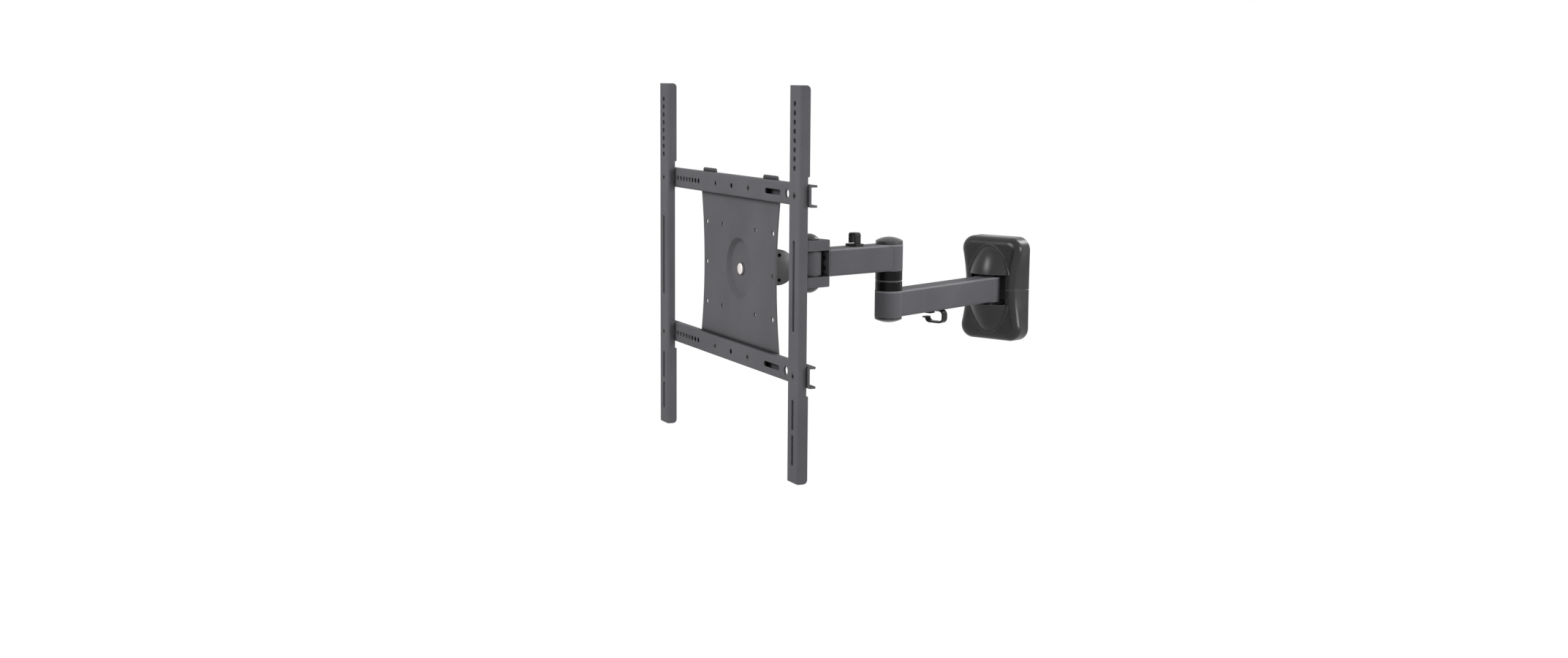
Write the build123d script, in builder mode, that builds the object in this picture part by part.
from build123d import *
import os
from math import cos, radians, sin, sqrt

# Full motion wall mount for a flat screen, in the pose of the photograph.
# Millimetres. The origin is on the wall, at the height of the rear arm's centre line:
# +X right, +Y into the wall, +Z up.

# Fits
fit = 0.05             # radial clearance of a pin in its hole, or of a plug in its seat
run_gap = 0.1          # axial gap between faces that turn on each other

# Wall bracket
pivot_out = 31.0       # wall to the axis of the wall pivot
wall_plate_thick = 3.0
wall_hole_x = 50.0     # spacing of the wall screws, across
wall_hole_z = 100.0    # spacing of the wall screws, upright
wall_hole_radius = 4.0
ear_thick = 4.0
ear_radius = 9.5
wall_pin_radius = 5.0
wall_head_radius = 7.5
wall_head_height = 5.0
wall_nut_across = 15.0
wall_nut_height = 5.0
wall_washer = 1.2
wall_washer_radius = 12.0
wall_bush_radius = 8.0
wall_bush_length = 12.0

# Cover of the wall bracket
cover_width = 95.5
cover_height = 142.5
cover_depth = 28.0
cover_wall = 2.2
cover_waist = 76.0         # width of the face at mid height
cover_waist_radius = 130.0
cover_side_radius = 4000.0  # the back outline is all but straight
cover_draft = 0.5          # the face is this much lower than the back, at top and bottom
cover_corner = 18.0
cover_rim = 11.0           # rounding of the face into the sides
cover_seam = 0.4
cover_side_gap = 1.7       # wall plate to the cover's side wall
cover_end_gap = 0.4        # wall plate to the cover's end wall
dome_radius = 38.0
dome_half_height = 69.0
dome_back = 20.0           # the dome's axis lies this far behind the face
ring_half_width = 35.5
ring_half_height = 61.0
ring_width = 4.2
ring_height = 1.4
ring_round = 0.9
slot_half_width = 28.0
slot_room = 3.5            # arm to the cut faces of the domes

# Arms
arm_width = 31.0
arm_height = 34.0
arm_corner = 4.5
arm_wall = 2.5
arm_web = 3.0              # solid left between a barrel's round and the tube's hollow
barrel_radius = 17.5
rear_length = 228.0        # wall pivot to elbow
front_length = 136.0       # elbow to pan axis
elbow_rest = -10.0         # turn of the front arm on the rear arm, seen from above
pan_rest = -16.0           # turn of the head on the front arm, seen from above

# Elbow
thrust_radius = 17.3
thrust_height = 12.6
thrust_gap = 0.3
thrust_edge = 0.6
thrust_slit = 0.8          # width and depth of the upright slit in the upper ring
thrust_slit_turn = -56.0
elbow_pin_radius = 6.0
elbow_bush_radius = 10.0
elbow_bush_length = 12.0
elbow_seat_radius = 14.0
elbow_seat_depth = 6.0
elbow_head_radius = 10.0
elbow_head_height = 4.5
elbow_nut_across = 19.0
elbow_nut_height = 5.0
elbow_cap_wall = 2.0
elbow_cap_rim = 4.0
elbow_cap_dome = 4.8
elbow_foot_dome = 4.5
elbow_foot_rim = 2.6
elbow_foot_wall = 1.0
cap_plug = 3.0             # length of a cap's plug in its seat

# Pan fork
yoke_width = 34.0
yoke_front = 17.5
yoke_back = 21.3
yoke_half_height = 29.0
yoke_gap = 32.0
yoke_web = 3.0
yoke_corner = 3.5
yoke_edge = 1.5
yoke_end_wall = 10.0       # solid end of the front arm behind the fork
yoke_screw_x = 16.0
yoke_screw_z = 12.6
yoke_screw_radius = 2.4
yoke_head_radius = 3.2
yoke_head_height = 1.5
yoke_head_sink = 0.5       # heads lie this far below the face of the web
pan_pin_radius = 5.0
pan_seat_radius = 11.0
pan_seat_depth = 6.5
pan_head_radius = 8.0
pan_head_height = 5.0
pan_nut_across = 15.0
pan_nut_height = 5.0
pan_cap_radius = 12.0
pan_cap_rim = 1.5
pan_cap_dome = 6.0
pan_cap_wall = 1.5
pan_washer = 1.5
pan_washer_radius = 14.0
pan_barrel_radius = 15.3
pan_bush_radius = 8.0
pan_bush_length = 10.0

# Tilt joint
plate_out = 93.5           # pan axis to the front of the TV plate
tilt_back = 41.5           # front of the TV plate to the tilt axis
tilt_drop = 1.2            # tilt axis below the arm's centre line
plate_drop = 2.3           # middle of the TV plate below the tilt axis
lug_half_width = 13.0
lug_radius = 17.0
neck_height = 24.0
tilt_pin_radius = 5.0
tilt_washer = 1.2
tilt_washer_radius = 15.0
cheek_thick = 10.0
cheek_radius = 21.6
cheek_height = 36.0
flange_radius = 30.0
flange_thick = 4.0
tilt_seat_radius = 9.5
tilt_seat_depth = 5.0
tilt_head_radius = 8.0
tilt_head_height = 4.5
tilt_nut_across = 15.0
tilt_cap_radius = 21.0
tilt_cap_rim = 2.0
tilt_cap_dome = 2.5
tilt_cap_hole = 2.3
tilt_cap_hole_out = 15.0

# TV plate
plate_thick = 2.0
plate_waist = 216.0
plate_side_radius = 430.0
plate_corner = 6.0
dish_radius = 37.5
dish_floor_radius = 33.0
dish_depth = 5.0
vesa_small = 100.0
vesa_large = 200.0
plate_hole_radius = 2.6
side_hole_radius = 3.5
hook_centre = 92.0
hook_width = 40.0
hook_rise = 4.5            # the hooks stand this far above the rail
hook_corner = 3.5
centre_pin_radius = 4.0
centre_head_radius = 7.0
centre_head_height = 3.6
centre_head_edge = 1.6
centre_nut_across = 13.0
centre_nut_height = 5.5
level_washer = 1.4
level_washer_radius = 25.0

# Rails and uprights
sheet = 2.5
rail_spacing = 200.0
rail_height = 24.5
rail_depth = 9.5
rail_length = 436.0
rail_end = 18.0            # rail past the middle of an upright
rail_bend = 2.8
rail_hole_radius = 3.2
rail_row_first = 105.0
rail_row_pitch = 10.0
rail_row_count = 9
rail_slot_start = 99.0
rail_slot_end = 142.0
rail_slot_height = 6.3
rail_eye_x = 159.5
rail_eye_radius = 5.2
upright_width = 29.0
upright_length = 440.0
upright_depth = 12.2
upright_middle_depth = 10.0
upright_step = 121.0       # height where the deep ends begin, above and below the centre
upright_bend = 3.0
upright_flange_corner = 5.0
upright_step_corner = 1.0
step_corner_share = 0.45   # most of the step's rise that a rounding of its corner may take
upright_hole_radius = 3.1
upright_hole_top = 200.0
upright_hole_pitch = 10.0
upright_hole_count = 8
upright_slot_width = 5.6
upright_slot_half = 51.0
low_slot_start = 126.0
low_slot_length = 35.5
low_slot_bridge = 4.5
screw_radius = 2.5
screw_head_radius = 4.5
screw_socket = 4.0
screw_socket_depth = 1.6
screw_nut_across = 8.0
screw_nut_height = 4.0
screw_end = 1.5            # thread showing past a nut

# Cable clips
clip_band = 2.2
clip_base = 3.0
clip_round = 2.8
clip_mouth = 4.5
clip_rib = 0.5
clip_rib_height = 1.2
clip_rib_count = 4
front_clip_from_elbow = 60.0
front_clip_width = 12.5
front_clip_height = 17.0
front_clip_along = 9.0
front_clip_slit = 1.0      # the strap's free end stays this far off the base
front_clip_base_width = 20.0
front_clip_base_along = 15.5
rear_clip_from_elbow = 107.0
rear_clip_width = 29.0
rear_clip_height = 18.0
rear_clip_along = 10.0
rear_clip_round = 7.0
rear_clip_catch = 9.0      # width of the stub that the free end snaps behind
rear_clip_drop = 6.0       # height of that stub
rear_clip_lip = 4.0        # tongue on the free end, for a finger
rear_clip_lip_thick = 1.8

# Frames: each joint's plane, with local +Y towards the wall
elbow_y = -(pivot_out + rear_length)
front_z = arm_height + 2 * thrust_height + thrust_gap
front_turn = radians(elbow_rest)
head_turn = radians(elbow_rest + pan_rest)
front_x = (cos(front_turn), sin(front_turn), 0)
head_x = (cos(head_turn), sin(head_turn), 0)
head_y = (-sin(head_turn), cos(head_turn), 0)
up = (0, 0, 1)
pivot = Plane((0, -pivot_out, 0))
elbow = Plane((0, elbow_y, 0))
front = Plane((0, elbow_y, front_z), x_dir=front_x, z_dir=up)
pan = Plane(front.from_local_coords((0, -front_length, 0)), x_dir=head_x, z_dir=up)
yoke = Plane(front.from_local_coords((0, -front_length, 0)), x_dir=front_x, z_dir=up)
head = Plane(pan.from_local_coords((0, -plate_out, -tilt_drop - plate_drop)), x_dir=head_x, z_dir=up)
tilt = Plane(head.from_local_coords((0, tilt_back, plate_drop)), x_dir=head_y, z_dir=head_x)
centre = Plane(head.origin, x_dir=head_x, z_dir=(-head_y[0], -head_y[1], 0))

# Sizes that follow from the ones above
arm_half = arm_height / 2
ear_z = arm_half + run_gap + wall_washer
slot_half_height = arm_half + slot_room
yoke_half_gap = yoke_gap / 2
pan_half = yoke_half_gap - pan_washer - run_gap
cheek_in = lug_half_width + run_gap + tilt_washer
cheek_out = cheek_in + cheek_thick
dish_back = dish_depth + plate_thick
flange_front = dish_back + run_gap + level_washer
plate_half_height = rail_spacing / 2 + rail_height / 2
upright_spacing = rail_length - 2 * rail_end
upright_front = rail_depth + upright_middle_depth
upright_back = upright_front - upright_depth
upright_step_rise = upright_depth - upright_middle_depth
SIDES = (1, -1)


def on(frame, plane):
    """A plane that is given in a frame's own coordinates."""
    return Plane(frame * plane)


def post(radius, low, high, at=(0, 0), mode=Mode.ADD):
    """A round bar along the frame's Z, from low to high."""
    with Locations((at[0], at[1], low)):
        Cylinder(radius, high - low, align=(Align.CENTER, Align.CENTER, Align.MIN), mode=mode)


def hexagon(frame, across, low, high, at=(0, 0)):
    """A hexagonal bar along the frame's Z, from low to high."""
    with BuildSketch(frame.offset(low)) as section:
        with Locations(at):
            RegularPolygon(across / 2, 6, major_radius=False)
    extrude(section.sketch, amount=high - low)


def domed_cap(frame, radius, rim, dome, plug_radius, plug_wall, plug_length):
    """A round cap on the frame's plane: a rim with a dome on it, and a hollow plug below."""
    sphere = (radius ** 2 + dome ** 2) / (2 * dome)
    middle = sqrt(sphere ** 2 - radius ** 2 / 4) - (sphere - dome)
    with BuildSketch(on(frame, Plane.XZ)) as profile:
        with BuildLine():
            Line((0, 0), (radius, 0))
            Line((radius, 0), (radius, rim))
            ThreePointArc((radius, rim), (radius / 2, rim + middle), (0, rim + dome))
            Line((0, rim + dome), (0, 0))
        make_face()
    revolve(profile.sketch, axis=Axis(frame.origin, frame.z_dir))
    if plug_length > 0:
        post(plug_radius, -plug_length, 0)
        post(plug_radius - plug_wall, -plug_length, 0, mode=Mode.SUBTRACT)


def waisted(half_waist, side_radius, half_height, corner):
    """An upright oblong with hollow sides, whose rounded corners run into sides and ends."""
    corner_z = half_height - corner
    side_x = half_waist + side_radius
    reach = side_radius + corner
    corner_x = side_x - sqrt(reach ** 2 - corner_z ** 2)
    meet_x = corner_x + corner * (side_x - corner_x) / reach
    meet_z = corner_z * (1 - corner / reach)
    with BuildLine() as outline:
        for s in SIDES:
            Line((-corner_x, s * half_height), (corner_x, s * half_height))
            ThreePointArc((s * meet_x, meet_z), (s * half_waist, 0), (s * meet_x, -meet_z))
            for t in SIDES:
                TangentArc((s * corner_x, t * half_height), (s * meet_x, t * meet_z), tangent=(s, 0))
    make_face(outline.edges())


def cover_form(inset):
    """The back and front outlines of the cover, its outside at inset 0."""
    with BuildSketch(Plane.XZ) as back:
        waisted(cover_width / 2 - inset, cover_side_radius, cover_height / 2 - inset, cover_corner - inset)
    with BuildSketch(Plane.XZ.offset(cover_depth - inset)) as face:
        waisted(cover_waist / 2 - inset, cover_waist_radius + inset,
                cover_height / 2 - cover_draft - inset, cover_corner - inset)
    return [back.sketch, face.sketch]


def cover_room():
    """The hollow of the cover, one wall inside its outside."""
    with BuildPart() as room:
        loft(cover_form(cover_wall))
        fillet(room.faces().sort_by(Axis.Y)[0].edges(), cover_rim - cover_wall)
    return room.part


def domes(inset):
    """The upright egg that bulges from the cover's face, parted by a gap for the arm."""
    axis_y = dome_back - cover_depth
    with BuildPart() as egg:
        with BuildSketch(Plane.YZ):
            with Locations((axis_y, 0)):
                Ellipse(dome_radius - inset, dome_half_height - inset)
                Rectangle(dome_radius, 2 * dome_half_height, align=(Align.MIN, Align.CENTER),
                          mode=Mode.SUBTRACT)
        revolve(axis=Axis((0, axis_y, 0), up))
        with Locations((0, axis_y, 0)):
            Box(2 * dome_radius, 2 * dome_radius, 2 * slot_half_height, mode=Mode.SUBTRACT)
    return egg.part


def cover_half(side):
    """One half of the cover, above (1) or below (-1) the seam."""
    room = cover_room()
    bulge = domes(0)
    bulge_room = domes(cover_wall)
    with BuildPart() as half:
        loft(cover_form(0))
        fillet(half.faces().sort_by(Axis.Y)[0].edges(), cover_rim)
        with BuildSketch(Plane.XZ.offset(cover_depth - cover_wall)):
            Ellipse(ring_half_width, ring_half_height)
            Ellipse(ring_half_width - ring_width, ring_half_height - ring_width, mode=Mode.SUBTRACT)
            Rectangle(2 * ring_half_width, 2 * slot_half_height, mode=Mode.SUBTRACT)
        extrude(amount=cover_wall + ring_height)
        fillet(half.faces().sort_by(Axis.Y)[:2].edges(), ring_round)
        add(bulge)
        add(room, mode=Mode.SUBTRACT)
        add(bulge_room, mode=Mode.SUBTRACT)
        Box(2 * slot_half_width, 2 * cover_depth, 2 * slot_half_height, mode=Mode.SUBTRACT)
        Box(2 * cover_width, 2 * cover_depth, 2 * cover_height,
            align=(Align.CENTER, Align.MIN, Align.CENTER), mode=Mode.SUBTRACT)
        split(bisect_by=Plane.XY.offset(side * cover_seam / 2), keep=Keep.TOP if side > 0 else Keep.BOTTOM)
    return half


def rail(z):
    """A horizontal C channel, open at the back, with its rows of holes."""
    with BuildPart(head) as channel:
        with BuildSketch(on(head, Plane.YZ.offset(-rail_length / 2))):
            with Locations((0, z)):
                RectangleRounded(2 * rail_depth, rail_height, rail_bend)
                RectangleRounded(2 * (rail_depth - sheet), rail_height - 2 * sheet, rail_bend - sheet,
                                 mode=Mode.SUBTRACT)
                Rectangle(rail_depth, rail_height, align=(Align.MIN, Align.CENTER), mode=Mode.SUBTRACT)
        extrude(amount=rail_length)
        with BuildSketch(on(head, Plane.XZ.offset(rail_depth))):
            with Locations([(-rail_row_first - i * rail_row_pitch, z) for i in range(rail_row_count)]):
                Circle(rail_hole_radius)
            with Locations((0, z)):
                Circle(rail_hole_radius)
            with Locations((-upright_spacing / 2, z), (upright_spacing / 2, z)):
                Circle(screw_radius + fit)
            with Locations(((rail_slot_start + rail_slot_end) / 2, z)):
                SlotOverall(rail_slot_end - rail_slot_start, rail_slot_height)
            with Locations((rail_eye_x, z)):
                Circle(rail_eye_radius)
        extrude(amount=-sheet, mode=Mode.SUBTRACT)
        with Locations(Plane.XZ.offset(rail_depth)):
            with Locations((-vesa_small / 2, z), (vesa_small / 2, z)):
                countersink(fit, mode=Mode.SUBTRACT)
    return channel


def flange_edges(channel):
    """The sharp corners of an upright's flanges: short edges across the sheet."""
    across = channel.edges().filter_by(Axis(head.origin, head.x_dir))
    return across.filter_by(lambda edge: abs(edge.length - sheet) < sheet / 100)


def upright(x):
    """A vertical U channel, deeper at its ends, with a row of holes and three slots."""
    with BuildPart(head) as channel:
        with BuildSketch(head.offset(-upright_length / 2)):
            with Locations((x, -upright_back)):
                RectangleRounded(upright_width, 2 * upright_depth, upright_bend)
                RectangleRounded(upright_width - 2 * sheet, 2 * (upright_depth - sheet), upright_bend - sheet,
                                 mode=Mode.SUBTRACT)
                Rectangle(upright_width, upright_depth, align=(Align.CENTER, Align.MIN), mode=Mode.SUBTRACT)
        extrude(amount=upright_length)
        with Locations((x, -rail_depth, 0)):
            Box(upright_width, upright_depth, 2 * upright_step,
                align=(Align.CENTER, Align.MIN, Align.CENTER), mode=Mode.SUBTRACT)
        ends = flange_edges(channel).group_by(Axis.Z)
        fillet(ends[0] + ends[-1], upright_flange_corner)
        fillet(flange_edges(channel), min(upright_step_corner, step_corner_share * upright_step_rise))
        with BuildSketch(on(head, Plane.XZ.offset(upright_front))):
            for i in range(upright_hole_count):
                with Locations((x, upright_hole_top - i * upright_hole_pitch)):
                    Circle(upright_hole_radius)
            with Locations((x, 0)):
                SlotOverall(2 * upright_slot_half, upright_slot_width, rotation=90)
            for i in range(2):
                top = -low_slot_start - i * (low_slot_length + low_slot_bridge)
                with Locations((x, top - low_slot_length / 2)):
                    SlotOverall(low_slot_length, upright_slot_width, rotation=90)
        extrude(amount=-sheet, mode=Mode.SUBTRACT)
        with Locations(Plane.XZ.offset(upright_front)):
            with Locations((x, rail_spacing / 2), (x, -rail_spacing / 2)):
                countersink(fit, mode=Mode.SUBTRACT)
    return channel


def countersink(room, mode=Mode.ADD):
    """The cone of a flat screw head, as deep as the sheet, below the frame's plane."""
    Cone(screw_radius + room, screw_head_radius + room, sheet,
         align=(Align.CENTER, Align.CENTER, Align.MAX), mode=mode)


def sockets(face, spacing):
    """Hexagonal sockets in the heads of four screws that lie in a face."""
    with BuildSketch(face) as openings:
        with GridLocations(spacing, rail_spacing, 2, 2):
            RegularPolygon(screw_socket / 2, 6, major_radius=False)
    extrude(openings.sketch, amount=-screw_socket_depth, mode=Mode.SUBTRACT)


def finish(builder, name):
    """Label a finished piece and write it."""
    builder.part.label = name
    export_step(builder.part, f"parts/{name}.step")


os.makedirs("parts", exist_ok=True)

# Wall bracket: a plate against the wall with two ears for the pivot
with BuildPart() as wall_bracket:
    with BuildSketch(Plane.XZ):
        RectangleRounded(cover_width - 2 * (cover_wall + cover_side_gap),
                         cover_height - 2 * (cover_wall + cover_end_gap), cover_corner - cover_wall)
        with GridLocations(wall_hole_x, wall_hole_z, 2, 2):
            Circle(wall_hole_radius, mode=Mode.SUBTRACT)
    extrude(amount=wall_plate_thick)
    for s in SIDES:
        with BuildSketch(Plane.XY.offset(s * ear_z)):
            with Locations((0, -wall_plate_thick)):
                Rectangle(2 * ear_radius, pivot_out - wall_plate_thick, align=(Align.CENTER, Align.MAX))
            with Locations((0, -pivot_out)):
                Circle(ear_radius)
                Circle(wall_pin_radius + fit, mode=Mode.SUBTRACT)
        extrude(amount=s * ear_thick)
finish(wall_bracket, "wall_bracket")

finish(cover_half(1), "upper_cover")
finish(cover_half(-1), "lower_cover")

# Wall pivot: bolt and nut in the ears, with thrust washers
ear_top = ear_z + ear_thick
with BuildPart(pivot) as wall_pivot_bolt:
    post(wall_head_radius, ear_top, ear_top + wall_head_height)
    post(wall_pin_radius, -ear_top - wall_nut_height - screw_end, ear_top)
finish(wall_pivot_bolt, "wall_pivot_bolt")

with BuildPart(pivot) as wall_pivot_nut:
    hexagon(pivot, wall_nut_across, -ear_top - wall_nut_height, -ear_top)
    post(wall_pin_radius + fit, -ear_top - wall_nut_height, -ear_top, mode=Mode.SUBTRACT)
finish(wall_pivot_nut, "wall_pivot_nut")

with BuildPart(pivot) as wall_washers:
    post(wall_washer_radius, ear_z - wall_washer, ear_z)
    post(wall_washer_radius, -ear_z, -ear_z + wall_washer)
    post(wall_pin_radius + fit, -ear_z, ear_z, mode=Mode.SUBTRACT)
finish(wall_washers, "wall_washers")

# Rear arm: a square tube between two barrels
hollow_end = barrel_radius + arm_web
with BuildPart() as rear_arm:
    with BuildSketch(Plane.XZ.offset(pivot_out)):
        RectangleRounded(arm_width, arm_height, arm_corner)
    extrude(amount=rear_length)
    post(barrel_radius, -arm_half, arm_half, at=(0, -pivot_out))
    post(barrel_radius, -arm_half, arm_half, at=(0, elbow_y))
    with BuildSketch(Plane.XZ.offset(pivot_out + hollow_end)):
        RectangleRounded(arm_width - 2 * arm_wall, arm_height - 2 * arm_wall, arm_corner - arm_wall)
    extrude(amount=rear_length - 2 * hollow_end, mode=Mode.SUBTRACT)
    post(wall_bush_radius + fit, -arm_half, arm_half, at=(0, -pivot_out), mode=Mode.SUBTRACT)
    post(elbow_pin_radius + fit, -arm_half, arm_half, at=(0, elbow_y), mode=Mode.SUBTRACT)
    post(elbow_seat_radius, -arm_half, -arm_half + elbow_seat_depth, at=(0, elbow_y), mode=Mode.SUBTRACT)
finish(rear_arm, "rear_arm")

with BuildPart(pivot) as wall_bushes:
    post(wall_bush_radius, arm_half - wall_bush_length, arm_half)
    post(wall_bush_radius, -arm_half, -arm_half + wall_bush_length)
    post(wall_pin_radius + fit, -arm_half, arm_half, mode=Mode.SUBTRACT)
finish(wall_bushes, "wall_bushes")

# Elbow: thrust rings between the arms, and the bolt that holds them
with BuildPart(elbow) as elbow_lower_ring:
    post(thrust_radius, arm_half, arm_half + thrust_height)
    chamfer(elbow_lower_ring.edges().filter_by(GeomType.CIRCLE), thrust_edge)
    post(elbow_pin_radius + fit, arm_half, arm_half + thrust_height, mode=Mode.SUBTRACT)
finish(elbow_lower_ring, "elbow_lower_ring")

with BuildPart(front) as elbow_upper_ring:
    post(thrust_radius, -arm_half - thrust_height, -arm_half)
    chamfer(elbow_upper_ring.edges().filter_by(GeomType.CIRCLE), thrust_edge)
    post(elbow_pin_radius + fit, -arm_half - thrust_height, -arm_half, mode=Mode.SUBTRACT)
    with Locations((0, 0, -arm_half - thrust_height / 2)):
        with PolarLocations(thrust_radius, 1, start_angle=thrust_slit_turn):
            Box(2 * thrust_slit, thrust_slit, thrust_height, mode=Mode.SUBTRACT)
finish(elbow_upper_ring, "elbow_upper_ring")

head_seat = front_z + arm_half - elbow_seat_depth
nut_seat = -arm_half + elbow_seat_depth
with BuildPart(elbow) as elbow_bolt:
    post(elbow_pin_radius, nut_seat - elbow_nut_height, head_seat + run_gap)
    post(elbow_head_radius, head_seat + run_gap, head_seat + run_gap + elbow_head_height)
finish(elbow_bolt, "elbow_bolt")

with BuildPart(elbow) as elbow_nut:
    hexagon(elbow, elbow_nut_across, nut_seat - elbow_nut_height, nut_seat)
    post(elbow_pin_radius + fit, nut_seat - elbow_nut_height, nut_seat, mode=Mode.SUBTRACT)
finish(elbow_nut, "elbow_nut")

foot = Plane((0, elbow_y, -arm_half), x_dir=(1, 0, 0), z_dir=(0, 0, -1))
with BuildPart(foot) as elbow_bottom_cap:
    domed_cap(foot, thrust_radius, elbow_foot_rim, elbow_foot_dome,
              elbow_seat_radius - fit, elbow_foot_wall, elbow_seat_depth - elbow_nut_height)
finish(elbow_bottom_cap, "elbow_bottom_cap")

# Front arm: a square tube from the upper elbow barrel to the fork
tube_end = front_length - yoke_back
with BuildPart(front) as front_arm:
    with BuildSketch(on(front, Plane.XZ)):
        RectangleRounded(arm_width, arm_height, arm_corner)
    extrude(amount=tube_end)
    post(barrel_radius, -arm_half, arm_half)
    with BuildSketch(on(front, Plane.XZ.offset(hollow_end))):
        RectangleRounded(arm_width - 2 * arm_wall, arm_height - 2 * arm_wall, arm_corner - arm_wall)
    extrude(amount=tube_end - yoke_end_wall - hollow_end, mode=Mode.SUBTRACT)
    post(elbow_bush_radius + fit, -arm_half, arm_half, mode=Mode.SUBTRACT)
    post(elbow_seat_radius, arm_half - elbow_seat_depth, arm_half, mode=Mode.SUBTRACT)
    with BuildSketch(on(front, Plane.XZ.offset(tube_end))):
        with GridLocations(yoke_screw_x, yoke_screw_z, 2, 2):
            Circle(yoke_screw_radius + fit)
    extrude(amount=-yoke_end_wall, mode=Mode.SUBTRACT)
finish(front_arm, "front_arm")

bush_top = arm_half - elbow_seat_depth
with BuildPart(front) as elbow_bushes:
    post(elbow_bush_radius, -arm_half, -arm_half + elbow_bush_length)
    post(elbow_bush_radius, bush_top - elbow_bush_length, bush_top)
    post(elbow_pin_radius + fit, -arm_half, arm_half, mode=Mode.SUBTRACT)
finish(elbow_bushes, "elbow_bushes")

crown = front.offset(arm_half)
with BuildPart(crown) as elbow_top_cap:
    domed_cap(crown, thrust_radius, elbow_cap_rim, elbow_cap_dome,
              elbow_seat_radius - fit, elbow_cap_wall, cap_plug)
finish(elbow_top_cap, "elbow_top_cap")

# Cable clip on the front arm: a ribbed loop on a base, whose left side springs open
front_seat = Plane(front.from_local_coords((0, -front_clip_from_elbow, arm_half)), x_dir=front_x, z_dir=up)
with BuildPart(front_seat) as front_cable_clip:
    with BuildSketch(front_seat):
        RectangleRounded(front_clip_base_width, front_clip_base_along, clip_round)
    extrude(amount=clip_base)
    with BuildSketch(on(front_seat, Plane.XZ.offset(-front_clip_along / 2))):
        with Locations((0, front_clip_height / 2)):
            RectangleRounded(front_clip_width, front_clip_height, clip_round)
            RectangleRounded(front_clip_width - 2 * clip_band, front_clip_height - 2 * clip_band,
                             clip_round - clip_band, mode=Mode.SUBTRACT)
        with Locations((-front_clip_width / 2, clip_base)):
            Rectangle(3 * clip_band, front_clip_slit, align=(Align.CENTER, Align.MIN), mode=Mode.SUBTRACT)
    extrude(amount=front_clip_along)
    rib_pitch = (front_clip_height - clip_base - clip_round) / clip_rib_count
    with BuildSketch(on(front_seat, Plane.YZ.offset(front_clip_width / 2))):
        for i in range(clip_rib_count):
            with Locations((0, clip_base + (i + 0.5) * rib_pitch)):
                Rectangle(front_clip_along, clip_rib_height)
    extrude(amount=clip_rib)
finish(front_cable_clip, "front_cable_clip")

# Cable clip under the rear arm: a hoop whose free end snaps behind a catch at its left
rear_seat = Plane((0, elbow_y + rear_clip_from_elbow, -arm_half))
rear_mouth = -rear_clip_drop - clip_mouth / 2
with BuildPart(rear_seat) as rear_cable_clip:
    with BuildSketch(on(rear_seat, Plane.XZ.offset(-rear_clip_along / 2))):
        with Locations((0, -rear_clip_height / 2)):
            RectangleRounded(rear_clip_width, rear_clip_height, rear_clip_round)
            RectangleRounded(rear_clip_width - 2 * clip_band, rear_clip_height - 2 * clip_band,
                             rear_clip_round - clip_band, mode=Mode.SUBTRACT)
        with Locations((-rear_clip_width / 2, rear_mouth)):
            Rectangle(2 * rear_clip_round, clip_mouth, mode=Mode.SUBTRACT)
        with Locations((-rear_clip_width / 2, 0)):
            Rectangle(rear_clip_catch, rear_clip_drop, align=(Align.MIN, Align.MAX))
        with Locations((-rear_clip_width / 2 + clip_band, rear_mouth - clip_mouth / 2)):
            Rectangle(rear_clip_lip + clip_band, rear_clip_lip_thick, align=(Align.MAX, Align.MAX))
    extrude(amount=rear_clip_along)
finish(rear_cable_clip, "rear_cable_clip")

# Pan fork on the end of the front arm
with BuildPart(yoke) as pan_yoke:
    with BuildSketch(yoke.offset(-yoke_half_height)):
        with Locations((0, (yoke_back - yoke_front) / 2)):
            RectangleRounded(yoke_width, yoke_front + yoke_back, yoke_corner)
    extrude(amount=2 * yoke_half_height)
    rims = pan_yoke.faces().sort_by(Axis.Z)
    fillet(rims[0].edges() + rims[-1].edges(), yoke_edge)
    with Locations((0, yoke_back - yoke_web, 0)):
        Box(2 * yoke_width, 2 * (yoke_front + yoke_back), yoke_gap,
            align=(Align.CENTER, Align.MAX, Align.CENTER), mode=Mode.SUBTRACT)
    post(pan_pin_radius + fit, -yoke_half_height, yoke_half_height, mode=Mode.SUBTRACT)
    post(pan_seat_radius, yoke_half_height - pan_seat_depth, yoke_half_height, mode=Mode.SUBTRACT)
    post(pan_seat_radius, -yoke_half_height, -yoke_half_height + pan_seat_depth, mode=Mode.SUBTRACT)
    web_face = on(yoke, Plane.XZ.offset(yoke_web - yoke_back))
    with BuildSketch(web_face):
        with GridLocations(yoke_screw_x, yoke_screw_z, 2, 2):
            Circle(yoke_screw_radius + fit)
    extrude(amount=-yoke_web, mode=Mode.SUBTRACT)
    with BuildSketch(web_face):
        with GridLocations(yoke_screw_x, yoke_screw_z, 2, 2):
            Circle(yoke_head_radius + fit)
    extrude(amount=-(yoke_head_sink + yoke_head_height), mode=Mode.SUBTRACT)
finish(pan_yoke, "pan_yoke")

head_top = web_face.offset(-yoke_head_sink)
with BuildPart(yoke) as yoke_screws:
    with BuildSketch(head_top):
        with GridLocations(yoke_screw_x, yoke_screw_z, 2, 2):
            Circle(yoke_screw_radius)
    extrude(amount=-(yoke_web - yoke_head_sink + yoke_end_wall))
    with BuildSketch(head_top):
        with GridLocations(yoke_screw_x, yoke_screw_z, 2, 2):
            Circle(yoke_head_radius)
    extrude(amount=-yoke_head_height)
finish(yoke_screws, "yoke_screws")

pan_seat = yoke_half_height - pan_seat_depth
with BuildPart(yoke) as pan_bolt:
    post(pan_pin_radius, -pan_seat - pan_nut_height, pan_seat)
    post(pan_head_radius, pan_seat, pan_seat + pan_head_height)
finish(pan_bolt, "pan_bolt")

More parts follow.
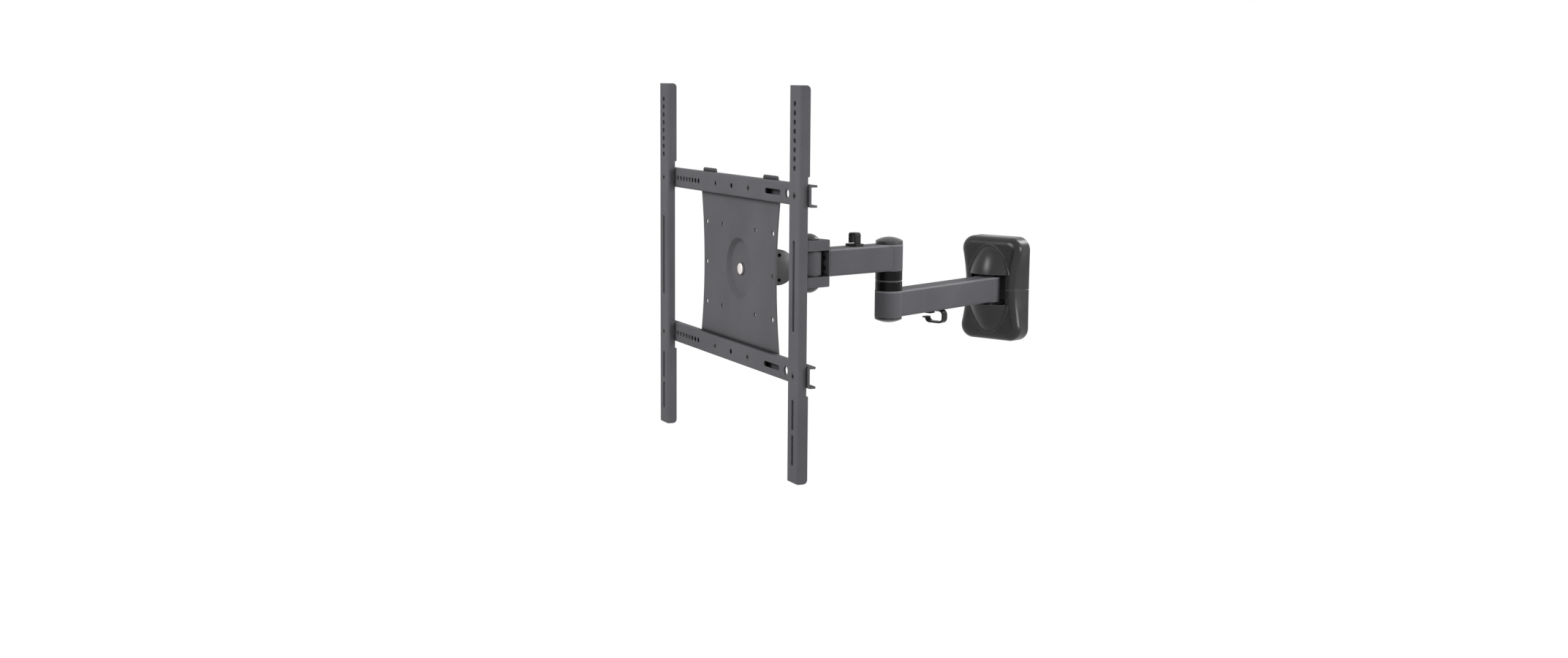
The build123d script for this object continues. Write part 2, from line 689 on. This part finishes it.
with BuildPart(yoke) as pan_nut:
    hexagon(yoke, pan_nut_across, -pan_seat - pan_nut_height, -pan_seat)
    post(pan_pin_radius + fit, -pan_seat - pan_nut_height, -pan_seat, mode=Mode.SUBTRACT)
finish(pan_nut, "pan_nut")

for s, name in ((1, "pan_top_cap"), (-1, "pan_bottom_cap")):
    seat = Plane(yoke.from_local_coords((0, 0, s * yoke_half_height)), x_dir=front_x, z_dir=(0, 0, s))
    with BuildPart(seat) as pan_cap:
        domed_cap(seat, pan_cap_radius, pan_cap_rim, pan_cap_dome,
                  pan_seat_radius - fit, pan_cap_wall, cap_plug)
    finish(pan_cap, name)

with BuildPart(yoke) as pan_washers:
    post(pan_washer_radius, yoke_half_gap - pan_washer, yoke_half_gap)
    post(pan_washer_radius, -yoke_half_gap, -yoke_half_gap + pan_washer)
    post(pan_pin_radius + fit, -yoke_half_gap, yoke_half_gap, mode=Mode.SUBTRACT)
finish(pan_washers, "pan_washers")

# Pan knuckle: an upright barrel with the lug of the tilt joint
tilt_y = tilt_back - plate_out
with BuildPart(pan) as pan_knuckle:
    post(pan_barrel_radius, -pan_half, pan_half)
    with Locations((0, tilt_y / 2, -tilt_drop / 2)):
        Box(2 * lug_half_width, -tilt_y, neck_height)
    with BuildSketch(tilt.offset(-lug_half_width)):
        Circle(lug_radius)
    extrude(amount=2 * lug_half_width)
    with BuildSketch(tilt.offset(-lug_half_width)):
        Circle(tilt_pin_radius + fit)
    extrude(amount=2 * lug_half_width, mode=Mode.SUBTRACT)
    post(pan_bush_radius + fit, -pan_half, pan_half, mode=Mode.SUBTRACT)
finish(pan_knuckle, "pan_knuckle")

with BuildPart(pan) as pan_bushes:
    post(pan_bush_radius, pan_half - pan_bush_length, pan_half)
    post(pan_bush_radius, -pan_half, -pan_half + pan_bush_length)
    post(pan_pin_radius + fit, -pan_half, pan_half, mode=Mode.SUBTRACT)
finish(pan_bushes, "pan_bushes")

# Tilt bracket: a round flange behind the TV plate with two cheeks
cheek_reach = tilt_back - flange_front - flange_thick
with BuildPart(tilt) as tilt_bracket:
    for s in SIDES:
        with BuildSketch(tilt.offset(s * cheek_in)):
            Circle(cheek_radius)
            Rectangle(cheek_reach, cheek_height, align=(Align.MAX, Align.CENTER))
        extrude(amount=s * cheek_thick)
    with BuildSketch(centre.offset(-flange_front)):
        Circle(flange_radius)
        Circle(centre_pin_radius + fit, mode=Mode.SUBTRACT)
    extrude(amount=-flange_thick)
    post(tilt_pin_radius + fit, -cheek_out, cheek_out, mode=Mode.SUBTRACT)
    post(tilt_seat_radius, cheek_out - tilt_seat_depth, cheek_out, mode=Mode.SUBTRACT)
    post(tilt_seat_radius, -cheek_out, -cheek_out + tilt_seat_depth, mode=Mode.SUBTRACT)
finish(tilt_bracket, "tilt_bracket")

tilt_seat = cheek_out - tilt_seat_depth
with BuildPart(tilt) as tilt_bolt:
    post(tilt_pin_radius, -tilt_seat - tilt_head_height, tilt_seat)
    post(tilt_head_radius, tilt_seat, tilt_seat + tilt_head_height)
finish(tilt_bolt, "tilt_bolt")

with BuildPart(tilt) as tilt_nut:
    hexagon(tilt, tilt_nut_across, -tilt_seat - tilt_head_height, -tilt_seat)
    post(tilt_pin_radius + fit, -tilt_seat - tilt_head_height, -tilt_seat, mode=Mode.SUBTRACT)
finish(tilt_nut, "tilt_nut")

with BuildPart(tilt) as tilt_washers:
    post(tilt_washer_radius, cheek_in - tilt_washer, cheek_in)
    post(tilt_washer_radius, -cheek_in, -cheek_in + tilt_washer)
    post(tilt_pin_radius + fit, -cheek_in, cheek_in, mode=Mode.SUBTRACT)
finish(tilt_washers, "tilt_washers")

for s, name in ((1, "right_tilt_cap"), (-1, "left_tilt_cap")):
    cheek_face = Plane(tilt.from_local_coords((0, 0, s * cheek_out)), x_dir=head_y,
                       z_dir=(s * head_x[0], s * head_x[1], 0))
    with BuildPart(cheek_face) as tilt_cap:
        domed_cap(cheek_face, tilt_cap_radius, tilt_cap_rim, tilt_cap_dome, 0, 0, 0)
        for t in SIDES:
            post(tilt_cap_hole, 0, tilt_cap_rim + tilt_cap_dome, at=(0, t * tilt_cap_hole_out),
                 mode=Mode.SUBTRACT)
    finish(tilt_cap, name)

# Centre bolt, on which the TV plate turns to be set level
bolt_face = run_gap - dish_depth
with BuildPart(centre) as centre_bolt:
    post(centre_head_radius, bolt_face, bolt_face + centre_head_height)
    fillet(centre_bolt.faces().sort_by(Axis(centre.origin, centre.z_dir))[-1].edges(), centre_head_edge)
    post(centre_pin_radius, -flange_front - flange_thick - centre_nut_height - screw_end, bolt_face)
finish(centre_bolt, "centre_bolt")

nut_face = -flange_front - flange_thick
with BuildPart(centre) as centre_nut:
    hexagon(centre, centre_nut_across, nut_face - centre_nut_height, nut_face)
    post(centre_pin_radius + fit, nut_face - centre_nut_height, nut_face, mode=Mode.SUBTRACT)
finish(centre_nut, "centre_nut")

with BuildPart(centre) as level_disc:
    post(level_washer_radius, -flange_front, -flange_front + level_washer)
    post(centre_pin_radius + fit, -flange_front, -flange_front + level_washer, mode=Mode.SUBTRACT)
finish(level_disc, "level_washer")

# TV plate: a waisted sheet with a round dish, and two hooks that stand up behind the upper rail
dish_slope = (dish_radius - dish_floor_radius) / dish_depth * plate_thick
with BuildPart(centre) as tv_plate:
    with BuildSketch(on(head, Plane.XZ)):
        waisted(plate_waist / 2, plate_side_radius, plate_half_height, plate_corner)
    extrude(amount=-plate_thick)
    with BuildSketch(on(head, Plane.XZ)) as hooks:
        with Locations((-hook_centre, plate_half_height), (hook_centre, plate_half_height)):
            Rectangle(hook_width, 2 * hook_rise)
        fillet(hooks.vertices().group_by(Axis.Y)[-1], hook_corner)
    extrude(amount=-plate_thick)
    with Locations((0, 0, -dish_back)):
        Cone(dish_floor_radius + dish_slope, dish_radius + dish_slope, dish_depth,
             align=(Align.CENTER, Align.CENTER, Align.MIN))
    with Locations((0, 0, -dish_depth)):
        Cone(dish_floor_radius, dish_radius, dish_depth,
             align=(Align.CENTER, Align.CENTER, Align.MIN), mode=Mode.SUBTRACT)
    post(centre_pin_radius + fit, -dish_back, 0, mode=Mode.SUBTRACT)
    with BuildSketch(on(head, Plane.XZ)):
        with GridLocations(vesa_small, vesa_small, 2, 2):
            Circle(plate_hole_radius)
        with GridLocations(vesa_large, vesa_small / 2, 2, 3):
            Circle(side_hole_radius)
        with GridLocations(vesa_small, rail_spacing, 2, 2):
            Circle(screw_radius + fit)
    extrude(amount=-plate_thick, mode=Mode.SUBTRACT)
finish(tv_plate, "tv_plate")

finish(rail(rail_spacing / 2), "upper_rail")
finish(rail(-rail_spacing / 2), "lower_rail")
finish(upright(-upright_spacing / 2), "left_upright")
finish(upright(upright_spacing / 2), "right_upright")

# Fasteners of the frame: uprights to rails, and rails to the TV plate
upright_face = on(head, Plane.XZ.offset(upright_front))
rail_face = on(head, Plane.XZ.offset(rail_depth))
rail_inside = rail_face.offset(-sheet)
plate_rear = on(head, Plane.XZ.offset(-plate_thick))

with BuildPart(upright_face) as upright_screws:
    with GridLocations(upright_spacing, rail_spacing, 2, 2):
        countersink(0)
        post(screw_radius, -(upright_middle_depth + rail_depth), 0)
    sockets(upright_face, upright_spacing)
finish(upright_screws, "upright_screws")

with BuildPart(head) as upright_nuts:
    with BuildSketch(rail_inside):
        with GridLocations(upright_spacing, rail_spacing, 2, 2):
            RegularPolygon(screw_nut_across / 2, 6, major_radius=False)
            Circle(screw_radius + fit, mode=Mode.SUBTRACT)
    extrude(amount=-screw_nut_height)
finish(upright_nuts, "upright_nuts")

with BuildPart(rail_face) as plate_screws:
    with GridLocations(vesa_small, rail_spacing, 2, 2):
        countersink(0)
        post(screw_radius, -(rail_depth + plate_thick + screw_nut_height + screw_end), 0)
    sockets(rail_face, vesa_small)
finish(plate_screws, "plate_screws")

with BuildPart(head) as plate_nuts:
    with BuildSketch(plate_rear):
        with GridLocations(vesa_small, rail_spacing, 2, 2):
            RegularPolygon(screw_nut_across / 2, 6, major_radius=False)
            Circle(screw_radius + fit, mode=Mode.SUBTRACT)
    extrude(amount=-screw_nut_height)
finish(plate_nuts, "plate_nuts")
